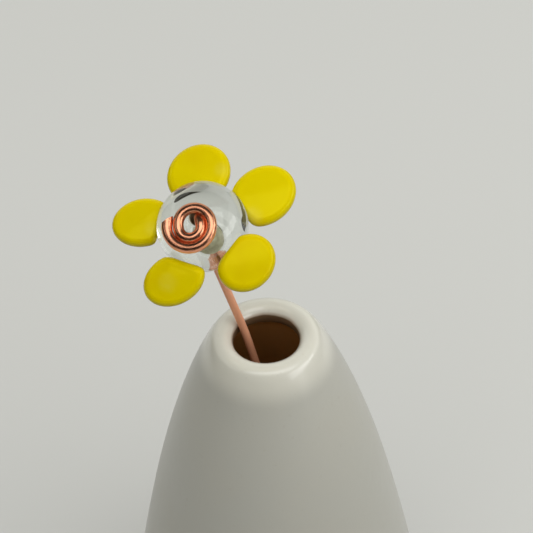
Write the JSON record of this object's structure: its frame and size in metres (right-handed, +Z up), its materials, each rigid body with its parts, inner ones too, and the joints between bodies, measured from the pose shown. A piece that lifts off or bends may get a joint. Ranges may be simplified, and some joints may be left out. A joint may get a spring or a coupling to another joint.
{
  "type": "glass daisy in bud vase",
  "caption": "Small glass daisy: opaque yellow petals round a clear bead on a copper wire stem wound into a spiral, leaning in a glazed ceramic bud vase with a thick lip.",
  "frame": {"origin": "centre of the vase's flat foot, on the surface it stands on", "axes": "+Z up along the vase's axis, -Y towards the front, where the flower faces, +X to the right"},
  "size_m": [0.0642, 0.0642, 0.1517],
  "materials": {
    "vase_glaze": "satin",
    "clear_glass": "polished",
    "yellow_glass": "gloss",
    "copper": "polished"
  },
  "bodies": {
    "root": {"vase": "vase_glaze", "center_bead": "clear_glass", "petal_top": "yellow_glass", "petal_upper_right": "yellow_glass", "petal_lower_right": "yellow_glass", "petal_lower_left": "yellow_glass", "petal_left": "yellow_glass", "copper_stem": "copper"}
  },
  "joints": []
}
